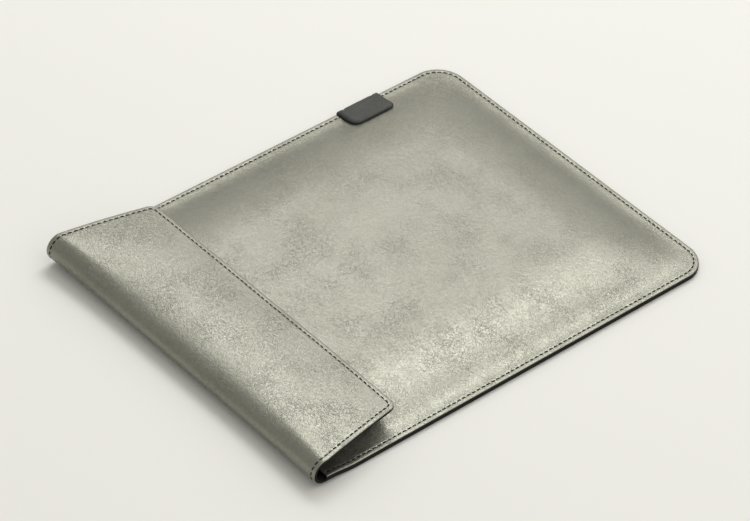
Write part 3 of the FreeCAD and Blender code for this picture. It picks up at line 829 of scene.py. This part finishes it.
FLAP_RUN = FLAP_END - START
L4 = ARC / 6 + FLAP_RUN
T1 = float(np.abs(lat_back.tau).max())
T2, T3 = T1 + (S2 - S1), T1 + (S3 - S1)
flap_rows = with_ends(0.0, ARC / 6, 0.19) + list(np.linspace(ARC / 6, L4 - RING - 12, 22))[1:] + list(np.linspace(L4 - RING - 12, L4 - RING, 22))[1:]
lat_flap = Lattice(hw, L4, 5.8, flap_rows, TAPER, ARC / 6)


def flap_map(x, v, h):
    return hide_map(x, S3 + v, h)


# the stitch pitch on the flap is drawn out a hair, so that the row closes evenly
flap_len = float(np.abs(lat_flap.tau).max())
total = T3 + flap_len
count = round(total / PITCH)
flap_pitch = flap_len / (count - T3 / PITCH)


def flap_relief(lat):
    # holes sit at whole pitches counted from the middle of the free edge
    return seam_relief(pitch=flap_pitch)(lat)


flap_leather = sheet_piece("flap_panel_leather", lat_flap, flap_map, LEATHER, leather, relief=flap_relief, flat_v=lambda v: S3 + v)


def strip_relief(t0, s0):
    def relief(lat):
        copy = type("L", (), {})()
        copy.d, copy.tau = lat.d, t0 + (lat.v - s0)
        return seam_relief()(copy)
    return relief


bend_rows_2 = with_ends(S1, S2, 0.19, True, True)
bend_rows_3 = with_ends(S2, S3, 0.19, True, True)
strip2, strip3 = Strip(lat_back, bend_rows_2), Strip(lat_back, bend_rows_3)
fold_leather_2 = sheet_piece("fold_leather_a", strip2, hide_map, LEATHER, leather, relief=strip_relief(T1, S1))
fold_leather_3 = sheet_piece("fold_leather_b", strip3, hide_map, LEATHER, leather, relief=strip_relief(T1, S1))

# ----------------------------------------------------------------- the linings
H_LIN = LEATHER + GLUE
LBANDS = [0.0, 0.2, 0.6, 1.4, 2.2, 2.75, 3.3, 4.2, 5.8, 8.5, 12.5, 16.5]


def lining_inner(lat):
    d = lat.d
    return -0.10 * np.exp(-(((d - INSET) / 0.5) ** 2)) - 0.2 * np.clip(1 - d / 0.5, 0, 1) ** 2


lin_rows_f = [0, 0.3, 0.9, 1.8, 2.75, 3.7, 5.5] + list(np.linspace(8.5, END - MOUTH - RING - 20, 60)) + list(np.linspace(END - MOUTH - RING - 20, END - MOUTH - RING, 9))[1:]
lat_front_c = Lattice(hw, END - MOUTH, CORNER, lin_rows_f, coarse=True, bands=LBANDS)
front_lining = sheet_piece("front_panel_lining", lat_front_c, front_map, LINING, lining, h0=H_LIN, offset=(700, 900))
lin_rows_b = with_ends(0.0, ARC / 6, 0.25) + list(np.linspace(ARC / 6, L1 - RING - 20, 90))[1:] + list(np.linspace(L1 - RING - 20, L1 - RING, 9))[1:]
lat_back_c = Lattice(hw, L1, CORNER, lin_rows_b, coarse=True, bands=LBANDS)
back_lining = sheet_piece("back_panel_lining", lat_back_c, back_map, LINING, lining, h0=H_LIN, flat_v=lambda v: S1 - v)
lin_rows_p = with_ends(0.0, ARC / 6, 0.25) + list(np.linspace(ARC / 6, L4 - RING - 12, 16))[1:] + list(np.linspace(L4 - RING - 12, L4 - RING, 8))[1:]
lat_flap_c = Lattice(hw, L4, 5.8, lin_rows_p, TAPER, ARC / 6, coarse=True, bands=LBANDS)
flap_lining = sheet_piece("flap_panel_lining", lat_flap_c, flap_map, LINING, lining, h0=H_LIN, inner_relief=lining_inner, flat_v=lambda v: S3 + v)
strip2_c, strip3_c = Strip(lat_back_c, with_ends(S1, S2, 0.25, True, True)), Strip(lat_back_c, with_ends(S2, S3, 0.25, True, True))
fold_lining_2 = sheet_piece("fold_lining_a", strip2_c, hide_map, LINING, lining, h0=H_LIN, inner_relief=lining_inner)
fold_lining_3 = sheet_piece("fold_lining_b", strip3_c, hide_map, LINING, lining, h0=H_LIN, inner_relief=lining_inner)


# -------------------------------------------------------------- the edge paint
def rim_line(lat, v_low=None, v_high=None):
    """The rim's points with outward normals, as one line from -X round to +X."""
    p = lat.path
    x0, v0 = lat.offset(p, 0.0)
    x1, v1 = lat.offset(p, 1.0)
    nx, nv = x0 - x1, v0 - v1
    k = np.maximum(np.hypot(nx, nv), 1e-9)
    # rows at a tapered side step along v only, so square the normal to the line
    tx, tv = np.gradient(x0), np.gradient(v0)
    tl = np.maximum(np.hypot(tx, tv), 1e-9)
    ox, ov = -tv / tl, tx / tl
    sign = np.sign(ox * nx + ov * nv)
    return x0, v0, ox * sign, ov * sign


def cut(line, keep):
    return tuple(a[keep] for a in line)


stack = Z_TOP
BODY_SECTION = [
    (-0.50, 0.46), (-0.38, 0.36), (-0.16, 0.35), (0.0, 0.42), (0.10, 0.54), (0.18, 0.76), (0.235, 1.02),
    (0.225, 1.35), (0.195, 1.75), (0.21, 2.2), (0.25, 2.6), (0.235, 2.92), (0.15, 3.14), (0.0, 3.28), (-0.18, 3.35),
    (-0.38, 3.34), (-0.50, 3.24), (-0.46, 1.9), (-0.48, 0.6),
]


def seam_map(x, v, h):
    """The seam's flat stack of layers, measured down from the front's outside."""
    y = v + MOUTH
    return np.stack([x, y, Z_TOP + lift(y) - h], -1)


fx, fv, fnx, fnv = rim_line(lat_front)
y_rim = fv + MOUTH
left = np.arange(len(fx)) < len(fx) // 2


def added_row(line, v, side, at_end):
    """line with one more point on the straight side at row v."""
    x = side * HALF
    new = (x, v, float(side), 0.0)
    return tuple(np.append(a, n) if at_end else np.insert(a, 0, n) for a, n in zip(line, new))


part_a = cut((fx, fv, fnx, fnv), left & (y_rim < 64.4) & (y_rim > -139.2))
part_a = added_row(added_row(part_a, 65.0 - MOUTH, -1, True), -0.65, -1, False)
part_b = cut((fx, fv, fnx, fnv), ~(left & (y_rim < 97.6)) & (y_rim > -139.2))
part_b = added_row(added_row(part_b, 97.0 - MOUTH, -1, False), -0.65, 1, True)
body_bead_a = bead("body_edge_paint_far", part_a, paint, BODY_SECTION, seam_map, 1)
body_bead_b = bead("body_edge_paint_round", part_b, paint, BODY_SECTION, seam_map, 2)

MOUTH_SECTION = [
    (-0.50, 0.46), (-0.38, 0.36), (-0.16, 0.35), (0.0, 0.42), (0.11, 0.56), (0.18, 0.78), (0.21, 1.02),
    (0.22, 1.3), (0.14, 1.62), (0.02, 1.76), (-0.14, 1.79), (-0.30, 1.77), (-0.46, 1.68), (-0.46, 0.9),
]
mx = np.linspace(-HALF + 0.5, HALF - 0.5, 240)
mouth_line = (mx, np.zeros(240), np.zeros(240), -np.ones(240))
mouth_bead = bead("mouth_edge_paint_line", mouth_line, paint, MOUTH_SECTION, front_map, 3)

HIDE_SECTION = [
    (-0.50, 0.46), (-0.38, 0.36), (-0.16, 0.35), (0.0, 0.42), (0.10, 0.55), (0.18, 0.76), (0.225, 1.02),
    (0.21, 1.35), (0.12, 1.6), (0.0, 1.74), (-0.14, 1.79), (-0.30, 1.78), (-0.46, 1.68), (-0.46, 0.9),
]
flap_line = rim_line(lat_flap)
flap_bead = bead("flap_edge_paint_line", flap_line, paint, HIDE_SECTION, flap_map, 4)


def side_beads(name, s0, s1, seed):
    """Both painted ends of a stretch of the bend, as one piece."""
    rows = np.linspace(s0, s1, max(6, int((s1 - s0) / 0.25)))
    made = []
    for side in (-1, 1):
        line = (np.full(len(rows), side * HALF), rows, np.full(len(rows), float(side)), np.zeros(len(rows)))
        made.append(bead("%s_%d" % (name, side + 1), line, paint, HIDE_SECTION, hide_map, seed + side))
    a, b = made
    bpy.ops.object.select_all(action="DESELECT")
    a.select_set(True)
    b.select_set(True)
    bpy.context.view_layer.objects.active = a
    bpy.ops.object.join()
    a.name = name
    a.data.name = name
    return a


fold_bead_1 = side_beads("fold_edge_paint_a", S_BEND, S1, 6)
fold_bead_2 = side_beads("fold_edge_paint_b", S1, S2, 8)
fold_bead_3 = side_beads("fold_edge_paint_c", S2, S3, 10)


# ------------------------------------------------------------------- the thread
def line_of(lat):
    x, v = lat.offset(lat.path, INSET)
    return lat.path["tau"], x, v


def middles(low, high, pitch=PITCH):
    """Middles of the stitches between whole pitches, on both sides of zero."""
    k = np.arange(math.floor(low / pitch) - 1, math.ceil(high / pitch) + 1)
    m = (k + 0.5) * pitch
    m = m[(m > low) & (m < high)]
    return np.concatenate([m, -m])


tf, xf, vf = line_of(lat_front)
top_mid = middles(0.0, float(tf.max()) - 2.6)
seam_top = stitches("seam_stitches_top", tf, (xf, vf), lambda x, v, h: seam_map(x, v, h), thread, top_mid, seed=1, sink=0.10)

tb, xb, vb = line_of(lat_back)
under_mid = middles(0.0, T1)
seam_under = stitches("seam_stitches_under", tb, (xb, vb), back_map, thread, under_mid, seed=2, sink=0.33, high=0.17)

mouth_mid = middles(0.0, HALF - INSET - 3.6)
ms = np.linspace(-HALF, HALF, 400)
mouth_top = stitches("mouth_stitches_top", ms, (ms, np.full(400, INSET)), front_map, thread, mouth_mid, seed=3, sink=0.10)
mouth_low_mid = mouth_mid[np.abs(mouth_mid) < HALF - 20]
mouth_under = stitches(
    "mouth_stitches_under", ms, (ms, np.full(400, INSET)), lambda x, v, h: front_map(x, v, h + H_LIN + LINING), thread, mouth_low_mid, side=1.0, seed=4, sink=0.16, high=0.15
)


def both_sides(name, s0, s1, t0, inner, seed, pitch=PITCH):
    """Stitches along both ends of the bend between s0 and s1."""
    low, high = t0, t0 + (s1 - s0)
    k = np.arange(math.floor(low / pitch) - 1, math.ceil(high / pitch) + 1)
    m = (k + 0.5) * pitch
    m = m[(m > low) & (m <= high)]
    made = []
    span = np.linspace(s0 - 4, s1 + 4, 200)
    for side in (-1, 1):
        surf = (lambda x, v, h: hide_map(x, v, h + H_LIN + LINING)) if inner else hide_map
        made.append(stitches(
            "%s_%d" % (name, side + 1), span - s0 + t0, (np.full(200, side * (HALF - INSET)), span), surf, thread, m,
            side=1.0 if inner else -1.0, seed=seed + side, sink=0.13 if inner else 0.10, high=0.16 if inner else 0.2,
        ))
    a, b = made
    if a is None:
        return None
    bpy.ops.object.select_all(action="DESELECT")
    a.select_set(True)
    b.select_set(True)
    bpy.context.view_layer.objects.active = a
    bpy.ops.object.join()
    a.name = name
    a.data.name = name
    return a


fold_outer_2 = both_sides("fold_stitches_outer_b", S1, S2, T1, False, 20)
fold_outer_3 = both_sides("fold_stitches_outer_c", S2, S3, T2, False, 24)
fold_inner_1 = both_sides("fold_stitches_inner_a", S_BEND + 0.6, S1, T1 - (S1 - S_BEND) + 0.6, True, 28)
fold_inner_2 = both_sides("fold_stitches_inner_b", S1, S2, T1, True, 32)
fold_inner_3 = both_sides("fold_stitches_inner_c", S2, S3, T2, True, 36)

tp, xp, vp = line_of(lat_flap)
flap_mid = middles(0.0, flap_len, flap_pitch)
flap_outer = stitches("flap_stitches_outer", tp, (xp, vp), flap_map, thread, flap_mid, seed=5, sink=0.10, pitch=flap_pitch)
flap_inner = stitches(
    "flap_stitches_inner", tp, (xp, vp), lambda x, v, h: flap_map(x, v, h + H_LIN + LINING), thread, flap_mid,
    side=1.0, seed=6, sink=0.13, high=0.16, pitch=flap_pitch,
)


# ----------------------------------------------------------------------- the tag
TAG_OUT = catmull([
    (-112.8, 0.06), (-114.5, 0.06), (-115.0, 0.10), (-115.20, 0.26), (-115.25, 0.6), (-115.25, 2.6), (-115.25, 4.35),
    (-115.16, 4.95), (-114.80, 5.32), (-114.2, 5.46), (-112.0, 5.50), (-108.6, 5.58), (-105.0, 6.00), (-101.0, 6.66), (-97.5, 7.32),
], 8)
TAG_IN = catmull([
    (-112.8, 0.60), (-114.2, 0.60), (-114.6, 0.60), (-114.74, 0.66), (-114.77, 0.9), (-114.77, 2.3), (-114.77, 3.55),
    (-114.76, 3.80), (-114.66, 3.93), (-114.3, 3.975), (-112.0, 3.99), (-108.4, 4.06), (-105.0, 4.52), (-101.0, 5.20), (-97.5, 5.86),
], 8)
tag_len = np.concatenate([[0], np.cumsum(np.hypot(*np.diff(TAG_OUT, axis=0).T))])
TAG_V = float(tag_len[-1])
TAG_MID = 81.0


def tag_map(x, v, h):
    """x here runs along the sleeve's edge; v round the tag from its lower leaf."""
    x, v, h = np.broadcast_arrays(*(np.asarray(a, float) for a in (x, v, h)))
    ox, oz = np.interp(v, tag_len, TAG_OUT[:, 0]), np.interp(v, tag_len, TAG_OUT[:, 1])
    ix, iz = np.interp(v, tag_len, TAG_IN[:, 0]), np.interp(v, tag_len, TAG_IN[:, 1])
    return np.stack([ox + (ix - ox) * h, TAG_MID - x, oz + (iz - oz) * h], -1)


tag_rows = list(np.linspace(0, TAG_V - 6.3, 90))
TAG_BANDS = [0.0, 0.04, 0.12, 0.24, 0.4, 0.6, 0.85, 1.05, 1.2, 1.35, 1.5, 1.65, 1.8, 2.0, 2.3, 2.7, 3.2, 3.7]
_keep_ring = RING
RING = 6.3
lat_tag = Lattice(15.75, TAG_V, 4.8, tag_rows, bands=TAG_BANDS)
RING = _keep_ring


def tag_relief(lat):
    """Rolled rim, and a plain pressed frame line on the upper leaf."""
    d = np.minimum(lat.d, np.where(lat.d > 90, 99.0, lat.d))
    top = smooth((lat.v - 8.6) / 1.2)
    h = 0.42 * np.clip(1 - d / 1.15, 0, 1) ** 2
    frame_line = 0.16 * np.exp(-(((d - 1.5) / 0.24) ** 2))
    outer_line = 0.16 * np.exp(-(((lat.v - 10.6) / 0.28) ** 2)) * (lat.d > 1.5)
    cushion = -0.85 * smooth((np.minimum(d, 6.0) + 0.6) / 2.6)
    return h + top * (np.maximum(frame_line, outer_line) + cushion * 0.6)


tag = sheet_piece("side_tag_leather", lat_tag, tag_map, 1.0, tag_mat, relief=tag_relief)
a = tag.data.attributes["rim"]
wall = np.concatenate([np.clip(1 - (lat_tag.v - 7.0) / 1.6, 0, 1), np.ones(len(lat_tag.v))])
edge = np.concatenate([np.exp(-((lat_tag.d / 0.5) ** 2)), np.ones(len(lat_tag.v))])
a.data.foreach_set("value", np.maximum(wall, edge).astype(np.float32))


def place(obj, nodes, body=None):
    if obj is None:
        return
    if body:
        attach(obj, body)
    else:
        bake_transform(obj)
    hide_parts(*nodes)


place(front_leather, ["front_leather"], body="pocket")
place(back_leather, ["back_leather", "fold_leather_lower"])
place(fold_leather_2, ["fold_leather_lower", "fold_leather_middle"])
place(fold_leather_3, ["fold_leather_middle", "fold_leather_upper"])
place(flap_leather, ["fold_leather_upper", "flap_leather"])
place(front_lining, ["front_lining"], body="pocket")
place(back_lining, ["back_lining", "fold_lining_lower"])
place(fold_lining_2, ["fold_lining_lower", "fold_lining_middle"])
place(fold_lining_3, ["fold_lining_middle", "fold_lining_upper"])
place(flap_lining, ["fold_lining_upper", "flap_lining"])
place(body_bead_a, ["body_edge_paint"], body="pocket")
place(body_bead_b, ["body_edge_paint"], body="pocket")
place(mouth_bead, ["mouth_edge_paint"], body="pocket")
place(fold_bead_1, ["fold_edge_paint_lower"])
place(fold_bead_2, ["fold_edge_paint_lower", "fold_edge_paint_middle"])
place(fold_bead_3, ["fold_edge_paint_middle", "fold_edge_paint_upper"])
place(flap_bead, ["fold_edge_paint_upper", "flap_edge_paint"])
place(seam_top, ["seam_needle_thread"], body="pocket")
place(seam_under, ["seam_bobbin_thread", "fold_needle_thread_lower"])
place(mouth_top, ["mouth_needle_thread"], body="pocket")
place(mouth_under, ["mouth_bobbin_thread"], body="pocket")
place(fold_outer_2, ["fold_needle_thread_lower", "fold_needle_thread_middle"])
place(fold_outer_3, ["fold_needle_thread_middle", "fold_needle_thread_upper"])
place(flap_outer, ["fold_needle_thread_upper", "flap_needle_thread"])
place(fold_inner_1, ["fold_bobbin_thread_lower"])
place(fold_inner_2, ["fold_bobbin_thread_lower", "fold_bobbin_thread_middle"])
place(fold_inner_3, ["fold_bobbin_thread_middle", "fold_bobbin_thread_upper"])
place(flap_inner, ["fold_bobbin_thread_upper", "flap_bobbin_thread"])
place(tag, ["side_tag"], body="pocket")

# ------------------------------------------------------------------------ stage
floor_mat, nt, sh = nodes_of("pale_floor")
t = Tree(nt)
co = nt.nodes.new("ShaderNodeTexCoord").outputs["Object"]
shade = t.noise(co, 3.0, 2.0, 0.5)
t.link(t.mix(shade, (0.862, 0.857, 0.835), (0.874, 0.869, 0.848)), sh.inputs["Base Color"])
sh.inputs["Roughness"].default_value = 0.62
sh.inputs["Specular IOR Level"].default_value = 0.3
n = 41
g = np.linspace(-8.0, 8.0, n)
gy, gx_ = np.meshgrid(g, g, indexing="ij")
idx = np.arange(n * n).reshape(n, n)
fq = np.stack([idx[:-1, :-1].ravel(), idx[:-1, 1:].ravel(), idx[1:, 1:].ravel(), idx[1:, :-1].ravel()], 1)
floor = new_object("floor", np.stack([gx_.ravel(), gy.ravel(), np.full(n * n, -0.00002)], 1) / MM, fq, floor_mat)

world = bpy.data.worlds.new("studio")
scene.world = world
world.use_nodes = True
bg = world.node_tree.nodes["Background"]
bg.inputs["Color"].default_value = (1.0, 0.985, 0.925, 1)
bg.inputs["Strength"].default_value = 0.50


def area(name, place_, aim, size, power, colour):
    light = bpy.data.lights.new(name, "AREA")
    light.shape = "RECTANGLE"
    light.size, light.size_y = size
    light.energy = power
    light.color = colour
    o = bpy.data.objects.new(name, light)
    scene.collection.objects.link(o)
    o.location = place_
    o.visible_camera = False
    o.rotation_mode = "QUATERNION"
    o.rotation_quaternion = (Vector(aim) - Vector(place_)).to_track_quat("-Z", "Y")
    return o


WARM_WHITE = (1.0, 0.985, 0.92)


def glow(name, way, away, size, radiance, aim=(0.0, 0.0, 0.0)):
    """A soft box in the direction way, as bright as radiance all over."""
    w = Vector(way).normalized() * away + Vector(aim)
    area(name, tuple(w), aim, size, radiance * math.pi * size[0] * size[1], (1.0, 1.0, 0.985) if name == "key" else WARM_WHITE)


glow("key", (-0.335, 0.45, 0.83), 2.1, (1.42, 0.62), 5.9)
glow("top", (0.35, 0.30, 0.88), 3.2, (4.0, 3.4), 0.50)
glow("side", (-0.84, 0.42, 0.36), 3.2, (2.4, 1.5), 0.30)
glow("back", (-0.30, 0.84, 0.60), 3.4, (4.6, 2.2), 0.45)

# ----------------------------------------------------------------------- camera
F, AZ, EL, ROLL, DIST, TX, TY = 4192.126, 45.908, 40.876, 4.502, 2364.784, -5.943, 0.328
az, el, roll = math.radians(AZ), math.radians(EL), math.radians(ROLL)
back_dir = Vector((math.sin(az) * math.cos(el), -math.cos(az) * math.cos(el), math.sin(el)))
fw = -back_dir
right = fw.cross(Vector((0, 0, 1))).normalized()
up_dir = right.cross(fw)
R = right * math.cos(roll) + up_dir * math.sin(roll)
U = up_dir * math.cos(roll) - right * math.sin(roll)
cam_data = bpy.data.cameras.new("camera")
cam_data.sensor_fit = "HORIZONTAL"
cam_data.sensor_width = 36.0
cam_data.lens = F / 750.0 * 36.0
cam_data.dof.use_dof = False
cam_data.clip_start, cam_data.clip_end = 0.05, 60.0
cam = bpy.data.objects.new("camera", cam_data)
scene.collection.objects.link(cam)
place_cam = Vector((TX, TY, 0)) * MM + back_dir * (DIST * MM)
rot = Matrix((R, U, back_dir)).transposed()
cam.matrix_world = Matrix.Translation(place_cam) @ rot.to_4x4()
scene.camera = cam
scene.view_settings.view_transform = "Standard"
scene.view_settings.look = "None"
